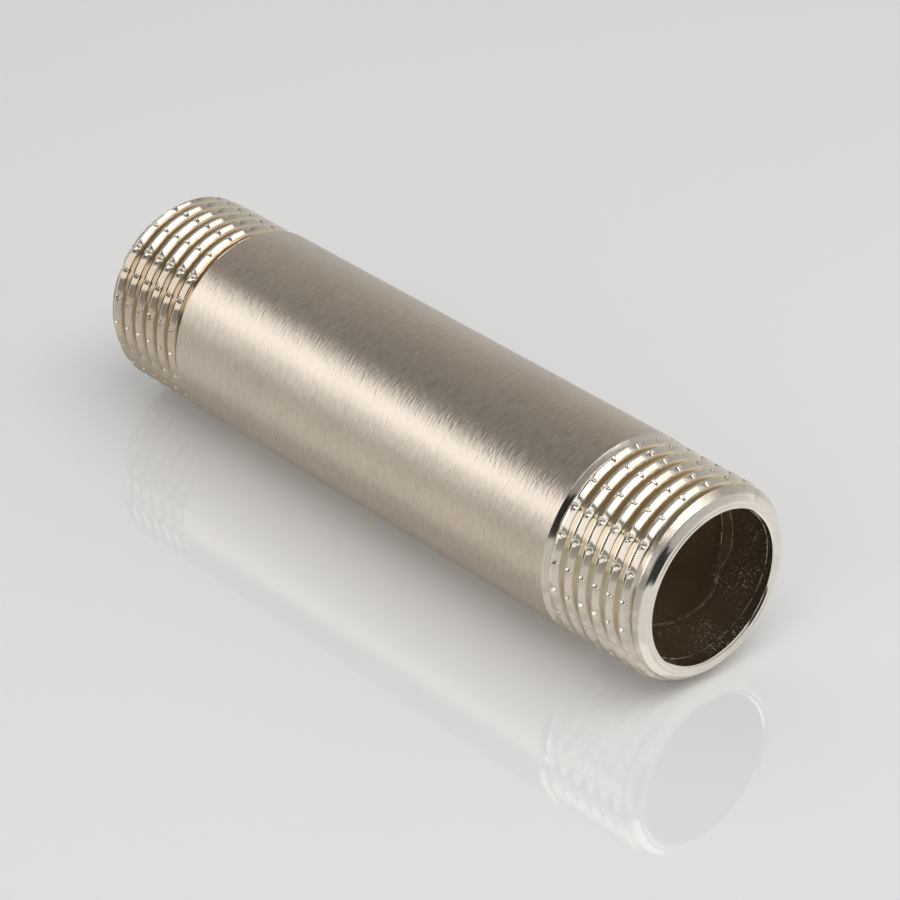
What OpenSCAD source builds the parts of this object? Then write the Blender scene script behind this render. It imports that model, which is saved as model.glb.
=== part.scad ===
// Barrel nipple for a water pipe: a plain satin tube with a right-hand outside thread on each end.
// The axis runs along X, +X is the front end, +Z is up, and the origin is the middle of the axis.

/* [Overall] */
// Length from end face to end face
overall_len = 80; // [60:1:200]
// Length of each threaded end, from the edge of the plain barrel to the end face
end_len = 12.5; // [9:0.5:20]
// Wall between the bore and the root of the thread
root_wall = 1.5; // [1.2:0.05:3]
// Height of the 45 degree bevel at each mouth of the bore
mouth_bevel = 0.35; // [0.2:0.05:0.9]

/* [Barrel] */
// Height of the barrel's surface above the crests of the thread
barrel_rise = 0.1; // [0:0.05:2]
// Depth below the crests of the 45 degree notch between the barrel and the thread
notch_depth = 0.4; // [0.1:0.05:0.6]

/* [Thread] */
// Diameter over the crests
crest_d = 20.8; // [20:0.05:22]
// Distance along the axis from one crest to the next
pitch = 1.814; // [1.4:0.002:2.4]
// Depth of the groove as a share of the pitch
depth_share = 0.6; // [0.5:0.01:0.65]
// Width of the groove's flat floor as a share of the pitch
floor_share = 0.165; // [0.1:0.005:0.2]
// Degrees between the two flanks of the groove
flank_angle = 55; // [50:1:60]
// Height of the chamfer that leads into the thread at the end face
lead_chamfer = 1; // [0.4:0.05:1]
// Length of that chamfer along the axis
lead_len = 1.5; // [0.5:0.1:3]
// Radius of the rounded edge between that chamfer and the end face
nose_round = 0.8; // [0.1:0.05:1]
// Width of crest left between the notch and the groove
start_land = 0.05; // [0.05:0.05:1]
// Degrees of turn over which the groove rises out of the metal beside the notch
runout_turn = 90; // [45:5:180]
// Degrees of turn at which the front groove leaves its end face
front_turn = 148; // [0:1:359]
// Degrees of turn at which the rear groove leaves its end face
rear_turn = 332; // [0:1:359]

/* [Hidden] */
$fn = 128;

// Finishes
satin_nickel = [0.68, 0.64, 0.58];
bright_nickel = [0.82, 0.79, 0.74];

// Radii
crest_r = crest_d / 2;
barrel_r = crest_r + barrel_rise;
notch_r = crest_r - notch_depth;
root_r = crest_r - depth_share * pitch;
bore_r = root_r - root_wall;
face_r = crest_r - lead_chamfer;

// Stations along the axis, measured from the middle
face_z = overall_len / 2;
edge_z = face_z - end_len;
notch_z = edge_z + barrel_r - notch_r;
crest_z = notch_z + notch_depth;

// Nose of an end as [radius, station]: the rounded edge, from the lead chamfer to the flat of the end face
nose_steps = 6;
lead_slope = lead_chamfer / lead_len;
lead_turn = atan(lead_slope);
flat_r = face_r - nose_round * tan((90 - lead_turn) / 2);
nose_arc = [
    for (i = [0 : nose_steps])
        let (turn = lead_turn + (90 - lead_turn) * i / nose_steps)
            [flat_r + nose_round * cos(turn), face_z + nose_round * (sin(turn) - 1)]
];

// Groove: its cutter goes a little deeper than the root and stands clear of the crests
steps_per_turn = 48;
floor_w = floor_share * pitch;
cut_below = 0.05;
cut_above = 0.3;
cut_floor_r = root_r - cut_below;
cut_rim_r = crest_r / cos(180 / steps_per_turn);
cut_top_r = cut_rim_r + cut_above;
cut_rise = cut_top_r - cut_floor_r;

// Width of the groove at radius r
function groove_w(r) = floor_w + 2 * (r - root_r) * tan(flank_angle / 2);

// The cutter's own section as [radius, offset along the axis], from one floor corner round to the other
groove_section = [
    [cut_floor_r, -groove_w(cut_floor_r) / 2],
    [cut_rim_r, -groove_w(cut_rim_r) / 2],
    [cut_top_r, -groove_w(cut_rim_r) / 2],
    [cut_top_r, groove_w(cut_rim_r) / 2],
    [cut_rim_r, groove_w(cut_rim_r) / 2],
    [cut_floor_r, groove_w(cut_floor_r) / 2]
];

// The groove has its full depth from full_z to the end face, and is out of the metal at low_z
full_z = crest_z + start_land + groove_w(crest_r) / 2;
low_z = full_z - pitch * runout_turn / 360;
high_z = face_z + groove_w(cut_rim_r);
groove_steps = ceil(steps_per_turn * (high_z - low_z) / pitch);

function groove_z(i) = low_z + (high_z - low_z) * i / groove_steps;
function groove_lift(z) = cut_rise * max(0, (full_z - z) / (full_z - low_z));
function groove_turn(z, face_turn) = face_turn + 360 * (z - face_z) / pitch;

// One station of the cutter at height z
function groove_ring(z, face_turn) = [
    for (p = groove_section)
        let (r = p[0] + groove_lift(z), turn = groove_turn(z, face_turn))
            [r * cos(turn), r * sin(turn), z + p[1]]
];

// Turns a shape that stands on Z to lie along +X
module along_x() {
    rotate([0, 90, 0]) children();
}

// Turns a shape of the front end to the rear end
module at_rear() {
    rotate([0, 0, 180]) children();
}

// Helical cutter of the thread's groove
module groove_cutter(face_turn) {
    corners = len(groove_section);
    points = [for (i = [0 : groove_steps]) each groove_ring(groove_z(i), face_turn)];
    sides = [
        for (i = [0 : groove_steps - 1], j = [0 : corners - 1])
            let (a = i * corners + j, b = i * corners + (j + 1) % corners)
                each [[a, b, b + corners], [a, b + corners, a + corners]]
    ];
    low_cap = [for (j = [corners - 1 : -1 : 0]) j];
    high_cap = [for (j = [0 : corners - 1]) groove_steps * corners + j];
    polyhedron(points, concat(sides, [low_cap, high_cap]));
}

// Everything inside the lead chamfer and the rounded nose of an end
module nose() {
    rotate_extrude()
        polygon(concat([[0, edge_z], [face_r + end_len * lead_slope, edge_z]], nose_arc, [[0, face_z]]));
}

// Bored core of one end: the thread's root and the bevelled mouth
module spigot() {
    intersection() {
        rotate_extrude()
            polygon([
                [bore_r, notch_z],
                [root_r, notch_z],
                [root_r, face_z],
                [bore_r + mouth_bevel, face_z],
                [bore_r, face_z - mouth_bevel]
            ]);
        nose();
    }
}

// Helical ridge of one end, standing on the core
module thread(face_turn) {
    difference() {
        intersection() {
            rotate_extrude()
                polygon([
                    [root_r, notch_z],
                    [notch_r, notch_z],
                    [crest_r, crest_z],
                    [crest_r, face_z],
                    [root_r, face_z]
                ]);
            nose();
        }
        groove_cutter(face_turn);
    }
}

// Plain satin tube with a chamfer at each end
module barrel() {
    color(satin_nickel)
        along_x()
            rotate_extrude()
                polygon([
                    [bore_r, -notch_z],
                    [notch_r, -notch_z],
                    [barrel_r, -edge_z],
                    [barrel_r, edge_z],
                    [notch_r, notch_z],
                    [bore_r, notch_z]
                ]);
}

module front_spigot() {
    color(bright_nickel) along_x() spigot();
}

module rear_spigot() {
    color(bright_nickel) at_rear() along_x() spigot();
}

module front_thread() {
    color(bright_nickel) along_x() thread(front_turn);
}

module rear_thread() {
    color(bright_nickel) at_rear() along_x() thread(rear_turn);
}

barrel();
front_spigot();
rear_spigot();
front_thread();
rear_thread();
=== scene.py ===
"""Looks of the barrel nipple: satin barrel, bright threads with nicked crests, dull bore, pale floor."""

import math

import bpy
import numpy as np
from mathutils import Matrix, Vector


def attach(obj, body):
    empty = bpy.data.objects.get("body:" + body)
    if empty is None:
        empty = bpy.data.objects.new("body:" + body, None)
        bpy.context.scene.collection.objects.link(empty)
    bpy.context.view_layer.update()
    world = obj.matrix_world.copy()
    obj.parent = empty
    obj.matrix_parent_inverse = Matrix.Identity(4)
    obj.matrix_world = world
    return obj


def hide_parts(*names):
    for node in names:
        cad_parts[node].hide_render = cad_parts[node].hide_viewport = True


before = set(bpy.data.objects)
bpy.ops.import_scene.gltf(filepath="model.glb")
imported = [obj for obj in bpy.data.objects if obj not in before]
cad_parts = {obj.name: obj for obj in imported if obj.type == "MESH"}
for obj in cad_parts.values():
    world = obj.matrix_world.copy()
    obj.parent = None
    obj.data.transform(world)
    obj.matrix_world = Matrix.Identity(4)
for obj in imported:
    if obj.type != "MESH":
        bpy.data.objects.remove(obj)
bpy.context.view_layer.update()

MM = 0.001
BODY = "root"

# Sizes of the part in millimetres, within a few tenths of the CAD model
FACE_X = 40.0
NOTCH_X = 28.0
EDGE_X = 27.5
BARREL_R = 10.5
NOTCH_R = 10.0
CREST_R = 10.4
ROOT_R = 9.3116
MOUTH_R = 8.03
BORE_R = 7.85
MOUTH_BEVEL = 0.22
LEAD_FACE_R = 9.2
LEAD_SLOPE = 0.7

# Nose of an end, and rounded edges
EDGE_ROUND = 0.06
NOSE_FLAT_R = 8.95
NOSE_SLOPE = 1.19
BEND_ROUND = 1.0
NOSE_ROUND = 0.3
CREASE_R = 8.64
CREASE_HALF = 0.08
CREASE_DEPTH = 0.07
CREASE_STEPS = 9
MOUTH_ROUND = 0.15
LIP_ROUND = 0.08

# Seam between the core of an end and its thread
SLEEVE_R = 8.48

# Section of the thread: narrow groove, broad ridge with sloping shoulders
PITCH = 1.814
FLOOR_HALF = 0.03
GROOVE_R = 9.42
CREST_FLAT = 0.10
ROOF_RUN = 0.49
ROOF_DROP = 0.32
ROOT_ROUND = 0.05
EAVE_ROUND = 0.12
RIDGE_ROUND = 0.25
ARC_STEPS = 4
FLANK_STEPS = 4
ROOF_STEPS = 5

# Course of each groove: turn at which it leaves the end face, and where it has its full depth
FRONT_TURN = 58.0
REAR_TURN = 206.0
FRONT_FULL_X = 29.166
REAR_FULL_X = 27.6
FADE_X = 0.4535

# Plain rings at the two ends of the thread
START_RING_X = 28.7
NOSE_RING_X = 38.7
START_RINGS = 14
NOSE_RINGS = 14
NOSE_ARC = 10
EDGE_BLEND = 0.05
SNAP = 0.012

# Nicks that roughen the crests, in rows along the axis
NICK_ROWS = 22
FRONT_NICK = 136.0
REAR_NICK = 48.5
NICK_HALF = 0.65
NICK_REACH = 0.36
NICK_DEPTH = 0.13
NICK_SPREAD = 0.3
DIP_HALF = 2.1
DIP_DEPTH = 0.12
BEAD_AWAY = 1.35
BEAD_HALF = 0.4
BEAD_RISE = 0.035
NICK_SEED = 11

# Ridges along a row that have a nick depth of their own
NICK_RIDGES = 64

# Lines round the bore: a faint one at the mouth, and the two edges of a rough band further in
LINE_RUN = 0.04
MOUTH_LINE_X = 38.75
MOUTH_LINE_SWAY = 0.55
BAND_X = 33.3
BAND_WIDTH = 1.2
BORE_LINES = 3
MOUTH_LINE_TURN = 50.0
BAND_OUT = 1.15
BAND_OUT_TURN = -48.0
BAND_OUT_HALF = 22.0
BAND_IN = 1.3
BAND_IN_TURN = -96.0
BAND_IN_HALF = 13.0
BAND_WIDE_TURN = 68.0
BAND_WIDE_HALF = 90.0
BAND_WIDE_EDGE = 8.0
BAND_LEAST = 0.15

# Where the finishes change: radii, heights and depths between which one tone turns into the next. The first
# two spans place painted shade and painted highlight on the thread.
GROOVE_SHADE_R = (9.8, 10.15)
UPPER_SHADE_Z = (6.6, 7.8)
CONE_R = (9.5, 9.65)
NOSE_FADE = 0.6
LIP_TONE_R = (9.5, 9.62)
BORE_DEEP_X = 20.0

# Columns of the thread's mesh, close to a nick and between two nicks, and whole turns meshed past each end
NICK_NEAR = 3.0
NICK_STEPS = 15
FREE_STEPS = 8
SPARE_LOW = 2
SPARE_HIGH = 3

LATHE_STEPS = 256
SHARP_ANGLE = 30.0

# Span of a noise over which it turns from one tone to the other, and turn of reflections across turning marks
NOISE_SPAN = (0.3, 0.7)
ACROSS_MARKS = 0.25

# Studio in metres and degrees: floor, lamps and the black cards that the metal mirrors
FLOOR_REACH = 2.0
KEY_HEIGHT = 0.52
PANEL_DISTANCE = 0.85
FLAG_HALF = 0.3
FLAG_HIGH = 0.6
FLAG_PLACE = (0.83, -0.47)
FLAG_TURN = 60.0
LOW_FLAG_X = 0.9
LOW_FLAG_Y = (-0.22, 0.42)
LOW_FLAG_Z = (0.025, 0.17)

# Watts per square metre that give a lamp's face a radiance of 1
LAMP_POWER = 4.0

# Overhead lamps as (name, one corner, other corner, radiance)
KEYS = [
    ("key_far", (0.14, 0.40), (0.42, 0.56), 0.4),
    ("key_back", (0.0, 0.22), (0.42, 0.40), 0.95),
    ("key_middle", (0.0, 0.03), (0.42, 0.22), 1.35),
    ("key_front", (0.0, -0.34), (0.42, 0.03), 1.35),
]

# Lamps beside the part as (name, azimuth, elevation, width, height, radiance), with all angles in degrees
LEFT_PANELS = [
    ("left", -138, 27, 52, 21, 1.45),
    ("left_low", -138, 8.5, 52, 16, 0.6),
]
FRONT_PANEL = ("front", -75, 31, 46, 27, 0.8)
LEFT_COLOUR = (0.95, 1.0, 1.07)

# World: grey by height, and its strength from one side to the other
SKY_TONES = [(0.0, 0.75), (0.12, 0.60), (0.28, 0.54), (0.56, 0.46), (0.73, 0.33), (1.0, 0.28)]
SKY_SIDE = (-0.6, 0.2)
SKY_STRENGTH = (0.61, 1.11)

# Camera in metres and degrees
CAMERA_PLACE = (0.23043, -0.20537, 0.18634)
CAMERA_DOWN = 31.522
CAMERA_TURN = 47.9
CAMERA_LENS = 143.7104
CAMERA_SENSOR = 36.0


def add_mesh(name, verts, faces, materials, indices=None):
    """Makes a smooth-shaded object from points in millimetres."""
    mesh = bpy.data.meshes.new(name)
    mesh.from_pydata([tuple(v) for v in np.asarray(verts) * MM], [], faces)
    for material in materials:
        mesh.materials.append(material)
    if indices is not None:
        mesh.polygons.foreach_set("material_index", indices)
    mesh.shade_smooth()
    mesh.set_sharp_from_angle(angle=math.radians(SHARP_ANGLE))
    mesh.validate()
    obj = bpy.data.objects.new(name, mesh)
    bpy.context.scene.collection.objects.link(obj)
    return obj


def lathe(profile, steps=LATHE_STEPS):
    """Turns a closed profile about X. Each point is (x, radius, material of the face that follows it).

    The x of a point may be a function of the turn in radians.
    """
    turn = np.linspace(0.0, 2 * math.pi, steps, endpoint=False)
    xs = np.stack([p[0](turn) if callable(p[0]) else np.full(steps, p[0]) for p in profile], -1)
    rs = np.array([p[1] for p in profile])
    verts = np.stack([xs, np.cos(turn)[:, None] * rs, np.sin(turn)[:, None] * rs], -1).reshape(-1, 3)
    count = len(profile)
    faces = []
    indices = []
    for i in range(steps):
        a = i * count
        b = (i + 1) % steps * count
        for j in range(count):
            k = (j + 1) % count
            faces.append((a + j, a + k, b + k, b + j))
            indices.append(profile[j][2])
    return verts, faces, indices


def rounded(corner, before, after, radius, steps=ARC_STEPS):
    """Points of an arc that rounds a corner of a profile."""
    c, p, q = (np.array(v[:2], float) for v in (corner, before, after))
    u = (p - c) / np.linalg.norm(p - c)
    w = (q - c) / np.linalg.norm(q - c)
    half = math.acos(float(np.clip(u @ w, -1, 1))) / 2
    reach = radius / math.tan(half)
    centre = c + (u + w) / np.linalg.norm(u + w) * radius / math.sin(half)
    start = c + u * reach - centre
    end = c + w * reach - centre
    points = []
    for t in np.linspace(0, 1, steps + 1):
        d = start * (1 - t) + end * t
        points.append(tuple(centre + d / np.linalg.norm(d) * radius))
    return points


def between(start, end, steps):
    """Points strictly between two points of a profile."""
    a, b = np.array(start), np.array(end)
    return [tuple(a * (1 - t) + b * t) for t in np.linspace(0, 1, steps + 1)[1:-1]]


def bell(away):
    """A smooth hump of height 1 that has nearly ended at a distance of 2."""
    return np.exp(-np.square(away))


def half_section():
    """Half of the thread's section, from the floor to the crest.

    Each row is (distance from the groove's middle, radius).
    """
    ridge = (PITCH / 2 - CREST_FLAT / 2, CREST_R)
    eave = (ridge[0] - ROOF_RUN, CREST_R - ROOF_DROP)
    foot = (FLOOR_HALF, GROOVE_R)
    floor = (0.0, GROOVE_R)
    top = (PITCH / 2, CREST_R)
    root_arc = rounded(foot, floor, eave, ROOT_ROUND)
    eave_arc = rounded(eave, foot, ridge, EAVE_ROUND)
    ridge_arc = [p for p in rounded(ridge, eave, (PITCH, CREST_R), RIDGE_ROUND) if p[0] < top[0]]
    rows = [(0.0, root_arc[0][1])] + [p for p in root_arc if p[0] > 0]
    rows += between(root_arc[-1], eave_arc[0], FLANK_STEPS) + eave_arc
    rows += between(eave_arc[-1], ridge_arc[0], ROOF_STEPS) + ridge_arc
    rows.append((top[0], ridge_arc[-1][1]))
    return np.array(rows)


SECTION = half_section()


def lead_radius(x):
    """Radius of the lead chamfer."""
    return LEAD_FACE_R + (FACE_X - x) * LEAD_SLOPE


def nose_profile():
    """Outline of the nose as (x, radius): lead chamfer, steeper chamfer, end face with a fine crease."""
    run = (LEAD_FACE_R - NOSE_FLAT_R) / (NOSE_SLOPE - LEAD_SLOPE)
    bend = (FACE_X - run, lead_radius(FACE_X - run))
    face = (FACE_X, NOSE_FLAT_R)
    arc = list(rounded(bend, (NOSE_RING_X, lead_radius(NOSE_RING_X)), face, BEND_ROUND, NOSE_ARC))
    arc += list(rounded(face, bend, (FACE_X, 0.0), NOSE_ROUND, NOSE_ARC))
    line = [(x, lead_radius(x)) for x in np.linspace(NOSE_RING_X, arc[0][0], NOSE_RINGS)]
    crease_r = np.linspace(CREASE_R + CREASE_HALF, CREASE_R - CREASE_HALF, CREASE_STEPS)
    crease = [(FACE_X - CREASE_DEPTH * bell((r - CREASE_R) / CREASE_HALF), r) for r in crease_r]
    return np.array(line[:-1] + arc + crease)


NOSE = nose_profile()


def soft_min(a, b, blend):
    """The smaller of two heights, with a rounded edge where they cross."""
    h = np.clip(0.5 + 0.5 * (b - a) / blend, 0, 1)
    return b * (1 - h) + a * h - blend * h * (1 - h)


class Thread:
    """One threaded end in the frame of the front end."""

    def __init__(self, face_turn, full_x, first_nick, seed):
        self.face_turn = face_turn
        self.full_x = full_x
        self.first_nick = first_nick
        rng = np.random.default_rng(seed)
        self.deep = 1 + NICK_SPREAD * rng.uniform(-1, 1, (NICK_ROWS, NICK_RIDGES))

    def columns(self):
        """Angles of the mesh's columns, closer together at the nicks."""
        step = 360.0 / NICK_ROWS
        near = np.linspace(-NICK_NEAR, NICK_NEAR, NICK_STEPS)
        wide = np.linspace(near[-1], step + near[0], FREE_STEPS)[1:-1]
        one = np.concatenate([near, wide])
        return np.concatenate([self.first_nick + k * step + one for k in range(NICK_ROWS)])

    def radius(self, x, turn):
        """Radius of the surface at places x along the axis and angles turn."""
        phase = (x - FACE_X) / PITCH - (turn - self.face_turn) / 360.0
        groove = np.round(phase)
        away = (phase - groove) * PITCH
        r = np.interp(np.abs(away), SECTION[:, 0], SECTION[:, 1])
        lift = (CREST_R - ROOT_R) * np.clip((self.full_x - (x - away)) / FADE_X, 0, None)
        r = np.minimum(r + lift, SECTION[-1, 1])
        ridge = np.floor(phase)
        across = (phase - ridge - 0.5) * PITCH
        return r + self.nick(across, turn, ridge.astype(int))

    def nick(self, across, turn, ridge):
        """Height of the nicks at places across a ridge: a pit in a shallow dip, with a bead on each side."""
        step = 360.0 / NICK_ROWS
        place = np.round((turn - self.first_nick) / step)
        away = np.abs(turn - self.first_nick - place * step)
        deep = self.deep[place.astype(int) % NICK_ROWS, ridge % NICK_RIDGES]
        pit = NICK_DEPTH * bell(away / NICK_HALF)
        dip = DIP_DEPTH * bell(away / DIP_HALF)
        bead = BEAD_RISE * bell((away - BEAD_AWAY) / BEAD_HALF)
        return bell(across / NICK_REACH) * deep * (bead - pit - dip)

    def limited(self, x, turn, nose_r):
        """Radius of the surface inside the start bevel and the radius of the nose."""
        r = soft_min(self.radius(x, turn), NOTCH_R + x - NOTCH_X, EDGE_BLEND)
        return soft_min(r, nose_r, EDGE_BLEND)

    def mesh(self):
        """Points and faces of the closed sleeve: thread outside, plain inside."""
        turns = self.columns()
        offsets = np.concatenate([-SECTION[::-1, 0], SECTION[1:-1, 0]])
        per_pitch = len(offsets)
        low = math.floor((NOTCH_X - FACE_X) / PITCH) - SPARE_LOW
        high = SPARE_HIGH
        start = PITCH * (turns[0] - self.face_turn) / 360.0
        start -= math.floor(start / PITCH) * PITCH
        base = FACE_X + start + np.repeat(np.arange(low, high), per_pitch) * PITCH
        base = base + np.tile(offsets, high - low)
        x = base[None, :] + PITCH * (turns - turns[0])[:, None] / 360.0
        free = (x > START_RING_X + SNAP) & (x < NOSE_RING_X - SNAP)
        r = self.limited(x, turns[:, None], lead_radius(x))
        start_x = np.linspace(NOTCH_X, START_RING_X, START_RINGS)
        start_r = self.limited(start_x[None, :], turns[:, None], lead_radius(start_x)[None, :])
        nose_r = self.limited(NOSE[None, :, 0], turns[:, None], NOSE[None, :, 1])
        nose_r[:, -1] = NOSE[-1, 1]

        verts = []
        index = np.zeros(x.shape, int)
        ring_a = np.zeros((len(turns), len(start_x)), int)
        ring_b = np.zeros((len(turns), len(NOSE)), int)
        wall = np.zeros((len(turns), 2), int)
        for i, turn in enumerate(np.radians(turns)):
            def put(px, pr):
                verts.append((px, pr * math.cos(turn), pr * math.sin(turn)))
                return len(verts) - 1
            ring_a[i] = [put(px, pr) for px, pr in zip(start_x, start_r[i])]
            inside = np.where(free[i])[0]
            index[i, inside] = [put(x[i, j], r[i, j]) for j in inside]
            ring_b[i] = [put(px, pr) for px, pr in zip(NOSE[:, 0], nose_r[i])]
            wall[i] = [put(FACE_X, SLEEVE_R), put(NOTCH_X, SLEEVE_R)]
            index[i, :inside[0]] = ring_a[i, -1]
            index[i, inside[-1] + 1:] = ring_b[i, 0]

        faces = []

        def patch(*loop):
            ring = [int(v) for k, v in enumerate(loop) if v != loop[k - 1]]
            if len(ring) > 2:
                faces.append(tuple(ring))

        rows = x.shape[1]
        for i in range(len(turns)):
            n = (i + 1) % len(turns)
            shift = per_pitch if n == 0 else 0
            for j in range(rows - 1 - shift):
                patch(index[i, j], index[n, j + shift], index[n, j + 1 + shift], index[i, j + 1])
            around = [list(ring_b[k]) + list(wall[k]) + list(ring_a[k]) for k in (i, n)]
            for j in range(len(around[0]) - 1):
                patch(around[0][j], around[1][j], around[1][j + 1], around[0][j + 1])
        return np.array(verts), faces


def to_rear(verts):
    """Turns points of the front end half round Z, to the rear end."""
    return np.asarray(verts) * np.array([-1.0, -1.0, 1.0])


def new_material(name):
    """An empty node material with its surface shader."""
    material = bpy.data.materials.new(name)
    material.use_nodes = True
    nodes = material.node_tree.nodes
    return material, nodes, material.node_tree.links, nodes["Principled BSDF"]


def noise(nodes, links, scale, detail, stretch=(1.0, 1.0, 1.0)):
    """A noise texture in the part's own frame, stretched along the axes."""
    where = nodes.new("ShaderNodeTexCoord")
    mapping = nodes.new("ShaderNodeMapping")
    mapping.inputs["Scale"].default_value = stretch
    texture = nodes.new("ShaderNodeTexNoise")
    texture.inputs["Scale"].default_value = scale
    texture.inputs["Detail"].default_value = detail
    links.new(where.outputs["Object"], mapping.inputs["Vector"])
    links.new(mapping.outputs["Vector"], texture.inputs["Vector"])
    return texture.outputs["Fac"]


def ramp(nodes, links, source, stops):
    """The colour of a ramp through the given (place, colour) stops."""
    node = nodes.new("ShaderNodeValToRGB")
    while len(node.color_ramp.elements) < len(stops):
        node.color_ramp.elements.new(0.5)
    for element, (place, colour) in zip(node.color_ramp.elements, stops):
        element.position = place
        element.color = (*colour, 1.0)
    links.new(source, node.inputs["Fac"])
    return node.outputs["Color"]


def mottle(nodes, links, source, first, second, span=NOISE_SPAN):
    """A colour that turns from the first to the second over a span of a noise."""
    return ramp(nodes, links, source, [(span[0], first), (span[1], second)])


def fade(nodes, links, source, first, second):
    """A colour that turns from the first at 0 to the second at 1."""
    return ramp(nodes, links, source, [(0.0, first), (1.0, second)])


def grey(value):
    """A colour with three equal parts."""
    return (value, value, value)


def turned_finish(bsdf, nodes, links, amount):
    """Spreads reflections across the marks that turning leaves round the axis."""
    tangent = nodes.new("ShaderNodeTangent")
    tangent.direction_type = "RADIAL"
    tangent.axis = "X"
    links.new(tangent.outputs["Tangent"], bsdf.inputs["Tangent"])
    bsdf.inputs["Anisotropic"].default_value = amount
    bsdf.inputs["Anisotropic Rotation"].default_value = ACROSS_MARKS


def bump(bsdf, nodes, links, source, strength, distance):
    """Raises the surface by a height, for fine relief only."""
    node = nodes.new("ShaderNodeBump")
    node.inputs["Strength"].default_value = strength
    node.inputs["Distance"].default_value = distance
    links.new(source, node.inputs["Height"])
    links.new(node.outputs["Normal"], bsdf.inputs["Normal"])


def blend(nodes, links, kind, factor, first, second):
    """Mixes two colours, by a fixed share or by another output."""
    node = nodes.new("ShaderNodeMix")
    node.data_type = "RGBA"
    node.blend_type = kind
    # The factor and the two colours of the mix node, which lists sockets for every data type
    factor_in, first_in, second_in = node.inputs[0], node.inputs[6], node.inputs[7]
    if isinstance(factor, float):
        factor_in.default_value = factor
    else:
        links.new(factor, factor_in)
    links.new(first, first_in)
    links.new(second, second_in)
    return node.outputs[2]


def from_axis(nodes, links):
    """A point's distance from the axis, its distance from the middle along the axis, and its height."""
    where = nodes.new("ShaderNodeTexCoord")
    split = nodes.new("ShaderNodeSeparateXYZ")
    links.new(where.outputs["Object"], split.inputs["Vector"])
    flat = nodes.new("ShaderNodeCombineXYZ")
    links.new(split.outputs["Y"], flat.inputs["Y"])
    links.new(split.outputs["Z"], flat.inputs["Z"])
    length = nodes.new("ShaderNodeVectorMath")
    length.operation = "LENGTH"
    links.new(flat.outputs["Vector"], length.inputs[0])
    along = nodes.new("ShaderNodeMath")
    along.operation = "ABSOLUTE"
    links.new(split.outputs["X"], along.inputs[0])
    return length.outputs["Value"], along.outputs["Value"], split.outputs["Z"]


def spread(nodes, links, source, span, to=(0.0, 1.0)):
    """Maps a span of a value to another span, without going past its ends."""
    node = nodes.new("ShaderNodeMapRange")
    node.inputs["From Min"].default_value = span[0]
    node.inputs["From Max"].default_value = span[1]
    node.inputs["To Min"].default_value = to[0]
    node.inputs["To Max"].default_value = to[1]
    links.new(source, node.inputs["Value"])
    return node.outputs["Result"]


def in_metres(span):
    """A span of millimetres in metres."""
    return (span[0] * MM, span[1] * MM)


def satin_nickel():
    """Satin plate with short brushed strokes round the barrel and a faint cloudy wear."""
    material, nodes, links, bsdf = new_material("satin_nickel")
    bsdf.inputs["Metallic"].default_value = 1.0
    grain = noise(nodes, links, scale=1000.0, detail=2.0, stretch=(4.0, 0.9, 0.9))
    tone = mottle(nodes, links, grain, first=(0.52, 0.437, 0.35), second=(0.605, 0.514, 0.418))
    cloud = noise(nodes, links, scale=90.0, detail=3.0)
    wear = mottle(nodes, links, cloud, first=grey(0.93), second=grey(1.0))
    base = blend(nodes, links, "MULTIPLY", 1.0, tone, wear)
    links.new(base, bsdf.inputs["Base Color"])
    rough = mottle(nodes, links, grain, first=grey(0.26), second=grey(0.33))
    links.new(rough, bsdf.inputs["Roughness"])
    turned_finish(bsdf, nodes, links, amount=0.2)
    bump(bsdf, nodes, links, grain, strength=1.0, distance=0.00004)
    return material


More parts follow.
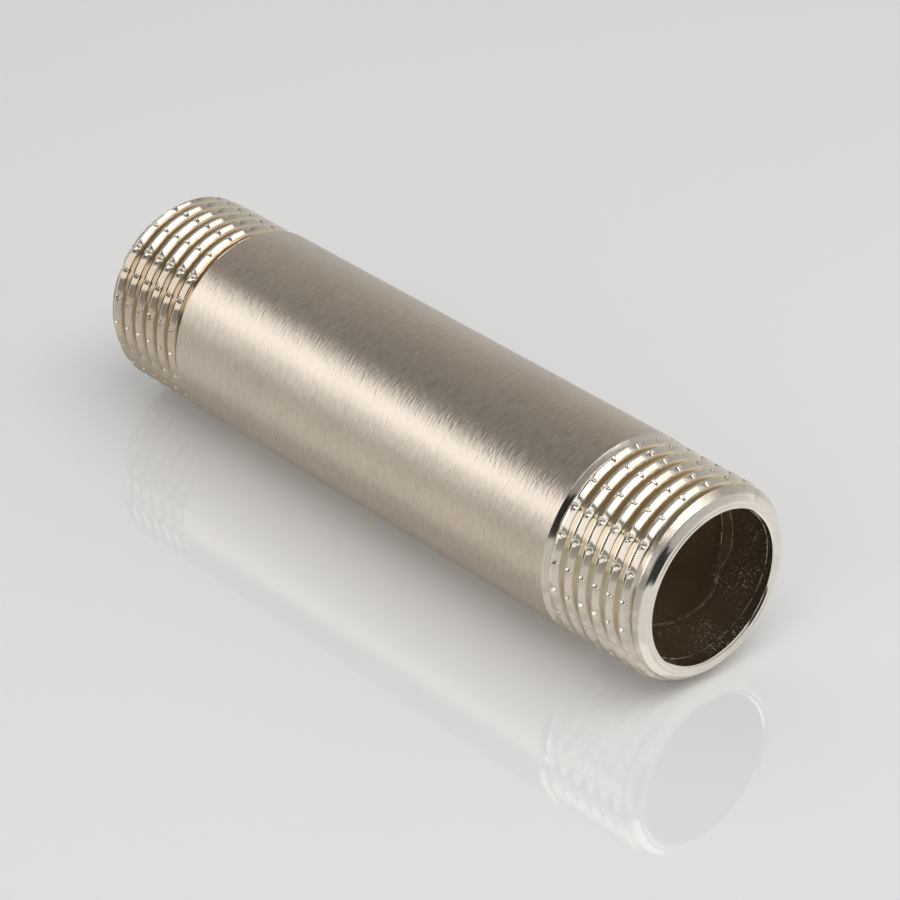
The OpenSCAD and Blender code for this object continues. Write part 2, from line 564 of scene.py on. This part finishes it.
def bright_nickel(name, painted_shade):
    """Bright plate with fine turning marks, worn on the nose. Painted shade darkens the grooves and makes the
    upper grooves browner, and a painted highlight makes the upper crests lighter.

    Its second argument is painted shade: it scales the colours of the thread below the upper grooves, for a
    darker, browner copy of the plate.
    """
    # Colour of the thread under this copy's painted shade
    def under_painted_shade(colour):
        return tuple(part * share for part, share in zip(colour, painted_shade))

    material, nodes, links, bsdf = new_material(name)
    bsdf.inputs["Metallic"].default_value = 1.0
    marks = noise(nodes, links, scale=1000.0, detail=3.0, stretch=(9.0, 0.6, 0.6))
    plate = mottle(nodes, links, marks, first=(0.86, 0.79, 0.69), second=(0.93, 0.88, 0.80))
    cloud = noise(nodes, links, scale=700.0, detail=4.0)
    cloud_span = (0.35, 0.65)
    radius, along, height = from_axis(nodes, links)
    end = spread(nodes, links, along, in_metres((NOSE_RING_X - NOSE_FADE, NOSE_RING_X)))

    # Painted shade and highlight on the thread, by radius and by height: grooves darker than the crests, and
    # high up the grooves browner and the crests lighter
    up = spread(nodes, links, radius, in_metres(GROOVE_SHADE_R))
    lower_painted_tone = fade(nodes, links, up, first=under_painted_shade((0.75, 0.715, 0.665)), second=under_painted_shade((0.76, 0.735, 0.70)))
    upper_painted_tone = fade(nodes, links, up, first=(0.83, 0.70, 0.51), second=(0.82, 0.80, 0.77))
    top = spread(nodes, links, height, in_metres(UPPER_SHADE_Z))
    thread = blend(nodes, links, "MIX", top, lower_painted_tone, upper_painted_tone)
    wear = mottle(nodes, links, cloud, (0.62, 0.60, 0.57), (0.80, 0.78, 0.75), cloud_span)
    shade = blend(nodes, links, "MIX", end, thread, wear)
    outer = spread(nodes, links, radius, in_metres(LIP_TONE_R))
    shaded = blend(nodes, links, "MULTIPLY", 1.0, plate, shade)
    base = blend(nodes, links, "MIX", outer, plate, shaded)
    links.new(base, bsdf.inputs["Base Color"])

    polish = mottle(nodes, links, marks, first=grey(0.08), second=grey(0.14))
    dull = mottle(nodes, links, cloud, grey(0.30), grey(0.16), cloud_span)
    flank = spread(nodes, links, radius, in_metres(CONE_R))
    cone = blend(nodes, links, "MIX", flank, polish, dull)
    rough = blend(nodes, links, "MIX", end, polish, cone)
    links.new(rough, bsdf.inputs["Roughness"])
    turned_finish(bsdf, nodes, links, amount=0.2)
    bump(bsdf, nodes, links, marks, strength=0.25, distance=0.00003)
    return material


def dull_bore(name, light):
    """Brown oxide of the bore, paler further in, with clusters of bright specks."""
    material, nodes, links, bsdf = new_material(name)
    _, along, _ = from_axis(nodes, links)
    depth = spread(nodes, links, along, in_metres((BORE_DEEP_X, FACE_X)))
    tones = [
        (0.0, (0.92, 0.70, 0.46)),
        (0.35, (0.62, 0.45, 0.28)),
        (0.65, (0.18, 0.115, 0.064)),
        (1.0, (0.03, 0.019, 0.011)),
    ]
    tone = ramp(nodes, links, depth, [(place, tuple(light * c for c in colour)) for place, colour in tones])
    grains = noise(nodes, links, scale=5000.0, detail=3.0)
    cloud = noise(nodes, links, scale=260.0, detail=2.0)
    dust = mottle(nodes, links, grains, grey(0.0), grey(1.0), span=(0.58, 0.66))
    where = mottle(nodes, links, cloud, grey(0.06), grey(0.9), span=(0.40, 0.60))
    specks = blend(nodes, links, "MULTIPLY", 1.0, dust, where)
    pale = fade(nodes, links, depth, first=(0.75, 0.66, 0.54), second=(0.42, 0.36, 0.29))
    base = blend(nodes, links, "MIX", specks, tone, pale)
    links.new(base, bsdf.inputs["Base Color"])
    rough = mottle(nodes, links, grains, first=grey(0.75), second=grey(0.5))
    links.new(rough, bsdf.inputs["Roughness"])
    bsdf.inputs["Specular IOR Level"].default_value = 0.15
    bump(bsdf, nodes, links, grains, strength=0.4, distance=0.00004)
    return material


def bore_edge():
    """Bare metal on the small steps in the bore."""
    material, nodes, links, bsdf = new_material("bore_edge")
    bsdf.inputs["Metallic"].default_value = 1.0
    breaks = noise(nodes, links, scale=1200.0, detail=3.0)
    tone = mottle(nodes, links, breaks, (0.12, 0.09, 0.06), (0.50, 0.42, 0.32), span=(0.4, 0.6))
    links.new(tone, bsdf.inputs["Base Color"])
    rough = mottle(nodes, links, breaks, first=grey(0.6), second=grey(0.4))
    links.new(rough, bsdf.inputs["Roughness"])
    return material


def larger(nodes, links, first, second):
    """The larger of two values."""
    node = nodes.new("ShaderNodeMath")
    node.operation = "MAXIMUM"
    links.new(first, node.inputs[0])
    links.new(second, node.inputs[1])
    return node.outputs["Value"]


def floor_paint():
    """Pale glossy floor with a faint glow that only the camera and mirrored or refracted rays see."""
    material, nodes, links, bsdf = new_material("floor_paint")
    cloud = noise(nodes, links, scale=6.0, detail=2.0)
    tone = mottle(nodes, links, cloud, first=(0.90, 0.90, 0.895), second=(0.92, 0.92, 0.915))
    links.new(tone, bsdf.inputs["Base Color"])
    bsdf.inputs["Roughness"].default_value = 0.04
    bsdf.inputs["Metallic"].default_value = 0.11
    bsdf.inputs["Specular IOR Level"].default_value = 0.0
    bsdf.inputs["Emission Color"].default_value = (0.07, 0.07, 0.07, 1.0)
    path = nodes.new("ShaderNodeLightPath")
    mirrored = larger(nodes, links, path.outputs["Is Glossy Ray"], path.outputs["Is Transmission Ray"])
    seen = larger(nodes, links, path.outputs["Is Camera Ray"], mirrored)
    links.new(seen, bsdf.inputs["Emission Strength"])
    return material


SATIN = satin_nickel()
BRIGHT = bright_nickel("bright_nickel", painted_shade=(1.0, 1.0, 1.0))
# Darker, browner copy of the bright plate for the rear thread: painted shade
REAR_SHADED_BRIGHT = bright_nickel("bright_nickel_rear_shaded", painted_shade=(0.85, 0.80, 0.75))
BORE = dull_bore("dull_bore", light=1.0)
ROUGH = dull_bore("rough_bore", light=1.35)
EDGE = bore_edge()


def barrel():
    """Satin tube with polished end chamfers and its part of the bore."""
    satin, bright, bore = 0, 1, 2
    edge = rounded((EDGE_X, BARREL_R), (0, BARREL_R), (NOTCH_X, NOTCH_R), EDGE_ROUND)
    profile = [(-NOTCH_X, BORE_R, bright), (-NOTCH_X, NOTCH_R, bright)]
    profile += [(-x, r, bright) for x, r in edge[:0:-1]] + [(-edge[0][0], edge[0][1], satin)]
    profile += [(0.0, BARREL_R, satin)]
    profile += [(x, r, bright) for x, r in edge]
    profile += [(NOTCH_X, NOTCH_R, bright), (NOTCH_X, BORE_R, bore)]
    verts, faces, indices = lathe(profile)
    return add_mesh("satin_barrel", verts, faces, [SATIN, BRIGHT, BORE], indices)


def turned_away(turn, place):
    """Degrees from a place round the bore, from -180 to 180."""
    return np.mod(np.degrees(turn) - place + 180.0, 360.0) - 180.0


def mouth_line(turn):
    """Course of the faint line behind the mouth."""
    return MOUTH_LINE_X + MOUTH_LINE_SWAY * np.cos(turn - math.radians(MOUTH_LINE_TURN))


def band_back(turn):
    """Course of the inner edge of the rough band, which swings out at one side and in below it."""
    out = BAND_OUT * bell(turned_away(turn, BAND_OUT_TURN) / BAND_OUT_HALF)
    inward = BAND_IN * bell(turned_away(turn, BAND_IN_TURN) / BAND_IN_HALF)
    return BAND_X + out - inward


def band_front(turn):
    """Course of the outer edge of the rough band, which is narrow over half of its course."""
    away = np.abs(turned_away(turn, BAND_WIDE_TURN))
    wide = 0.5 + 0.5 * np.tanh((BAND_WIDE_HALF - away) / BAND_WIDE_EDGE)
    return band_back(turn) + BAND_LEAST + BAND_WIDTH * wide


def line(course, outer, inner, edge, beyond):
    """Profile points of a small step in the bore along a course."""
    return [(course, outer, edge), (lambda turn: course(turn) - LINE_RUN, inner, beyond)]


def core_mesh():
    """Core of one end: bore with its lines, bevelled mouth, inner end face, wall under the thread."""
    bright, bore, edge, rough = 0, 1, 2, 3
    face = (FACE_X, SLEEVE_R)
    mouth = (FACE_X, MOUTH_R + MOUTH_BEVEL)
    lip = (FACE_X - MOUTH_BEVEL, MOUTH_R)
    back = (NOTCH_X, BORE_R)
    profile = [(*back, bright), (NOTCH_X, SLEEVE_R, bright), (*face, bright)]
    profile += [(x, r, bright) for x, r in rounded(mouth, face, lip, MOUTH_ROUND)]
    inner = rounded(lip, mouth, (NOTCH_X, MOUTH_R), LIP_ROUND)
    profile += [(x, r, bright) for x, r in inner[:-1]] + [(*inner[-1], bore)]
    levels = np.linspace(MOUTH_R, BORE_R, BORE_LINES + 1)
    profile += line(mouth_line, levels[0], levels[1], edge, bore)
    profile += line(band_front, levels[1], levels[2], edge, rough)
    profile += line(band_back, levels[2], levels[3], edge, bore)
    return lathe(profile)


def build_pieces():
    """The dressed pieces, each on its body and in place of its node."""
    pieces = [(barrel(), "barrel", "satin_nickel")]
    verts, faces, indices = core_mesh()
    front = add_mesh("front_core", verts, faces, [BRIGHT, BORE, EDGE, ROUGH], indices)
    rear = add_mesh("rear_core", to_rear(verts), faces, [BRIGHT, BORE, EDGE, ROUGH], indices)
    pieces += [(front, "front_spigot", "bright_nickel"), (rear, "rear_spigot", "bright_nickel")]
    verts, faces = Thread(FRONT_TURN, FRONT_FULL_X, FRONT_NICK, NICK_SEED).mesh()
    front = add_mesh("front_crests", verts, faces, [BRIGHT])
    verts, faces = Thread(REAR_TURN, REAR_FULL_X, REAR_NICK, NICK_SEED + 1).mesh()
    rear = add_mesh("rear_crests", to_rear(verts), faces, [REAR_SHADED_BRIGHT])
    pieces += [(front, "front_thread", "bright_nickel"), (rear, "rear_thread", "bright_nickel")]
    for obj, node, slot in pieces:
        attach(obj, BODY)
        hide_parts(node)


def card(name, corners, material):
    """A flat four-cornered sheet of the studio."""
    mesh = bpy.data.meshes.new(name)
    mesh.from_pydata(corners, [], [(0, 1, 2, 3)])
    mesh.materials.append(material)
    obj = bpy.data.objects.new(name, mesh)
    bpy.context.scene.collection.objects.link(obj)
    return obj


def add_floor():
    """Floor that the part lies on."""
    z = -BARREL_R * MM
    reach = FLOOR_REACH
    corners = [(-reach, -reach, z), (reach, -reach, z), (reach, reach, z), (-reach, reach, z)]
    card("floor", corners, floor_paint())


def softbox(name, place, size, radiance, aim=(0.0, 0.0, 0.0)):
    """A flat lamp at place, of the given width and height, facing aim."""
    lamp = bpy.data.lights.new(name, "AREA")
    lamp.shape = "RECTANGLE"
    lamp.size, lamp.size_y = size
    lamp.energy = LAMP_POWER * size[0] * size[1] * radiance
    obj = bpy.data.objects.new(name, lamp)
    obj.location = place
    toward = Vector(aim) - Vector(place)
    obj.rotation_euler = toward.to_track_quat("-Z", "Y").to_euler()
    obj.visible_camera = False
    bpy.context.scene.collection.objects.link(obj)
    return obj


def panel(name, azimuth, elevation, across, up, radiance):
    """A softbox seen from the part at the given angles, with its size given as angles too."""
    az, el = math.radians(azimuth), math.radians(elevation)
    toward = Vector((math.cos(el) * math.cos(az), math.cos(el) * math.sin(az), math.sin(el)))
    width = 2 * PANEL_DISTANCE * math.tan(math.radians(across) / 2)
    height = 2 * PANEL_DISTANCE * math.tan(math.radians(up) / 2)
    return softbox(name, PANEL_DISTANCE * toward, (width, height), radiance)


def overhead(name, low, high, radiance):
    """A softbox that faces straight down, between two corners."""
    middle = ((low[0] + high[0]) / 2, (low[1] + high[1]) / 2)
    size = (high[0] - low[0], high[1] - low[1])
    lamp = softbox(name, (*middle, KEY_HEIGHT), size, radiance, (*middle, 0.0))
    lamp.rotation_euler = (0.0, 0.0, 0.0)


def add_world():
    """Soft grey surroundings, paler low down and on the far side."""
    world = bpy.data.worlds.new("studio")
    world.use_nodes = True
    nodes, links = world.node_tree.nodes, world.node_tree.links
    where = nodes.new("ShaderNodeTexCoord")
    split = nodes.new("ShaderNodeSeparateXYZ")
    links.new(where.outputs["Generated"], split.inputs["Vector"])
    tone = ramp(nodes, links, split.outputs["Z"], [(place, grey(level)) for place, level in SKY_TONES])
    side = spread(nodes, links, split.outputs["Y"], SKY_SIDE, SKY_STRENGTH)
    links.new(tone, nodes["Background"].inputs["Color"])
    links.new(side, nodes["Background"].inputs["Strength"])
    bpy.context.scene.world = world


def add_lamps():
    """Lamps above, to the left and in front. The left ones light the metal and not the floor."""
    for key in KEYS:
        overhead(*key)
    for left in [panel(*values) for values in LEFT_PANELS]:
        left.data.color = LEFT_COLOUR
        left.visible_diffuse = False
    panel(*FRONT_PANEL)


def add_flags():
    """Black cards that the metal mirrors as dark lines."""
    black, _, _, bsdf = new_material("black_card")
    bsdf.inputs["Base Color"].default_value = (0.01, 0.01, 0.01, 1)
    half, high = FLAG_HALF, FLAG_HIGH
    flag = card("flag", [(-half, 0, 0), (half, 0, 0), (half, 0, high), (-half, 0, high)], black)
    flag.location = (*FLAG_PLACE, -BARREL_R * MM)
    flag.rotation_euler = (0, 0, math.radians(FLAG_TURN))
    flag.visible_camera = False
    x, (y0, y1), (z0, z1) = LOW_FLAG_X, LOW_FLAG_Y, LOW_FLAG_Z
    low = card("low_flag", [(x, y0, z0), (x, y1, z0), (x, y1, z1), (x, y0, z1)], black)
    low.visible_camera = False


def add_camera():
    """Camera of the picture."""
    camera = bpy.data.cameras.new("camera")
    camera.sensor_width = CAMERA_SENSOR
    camera.lens = CAMERA_LENS
    obj = bpy.data.objects.new("camera", camera)
    obj.location = CAMERA_PLACE
    obj.rotation_euler = (math.radians(90.0 - CAMERA_DOWN), 0.0, math.radians(CAMERA_TURN))
    bpy.context.scene.collection.objects.link(obj)
    bpy.context.scene.camera = obj


build_pieces()
add_floor()
add_world()
add_lamps()
add_flags()
add_camera()
bpy.context.scene.view_settings.view_transform = "Standard"
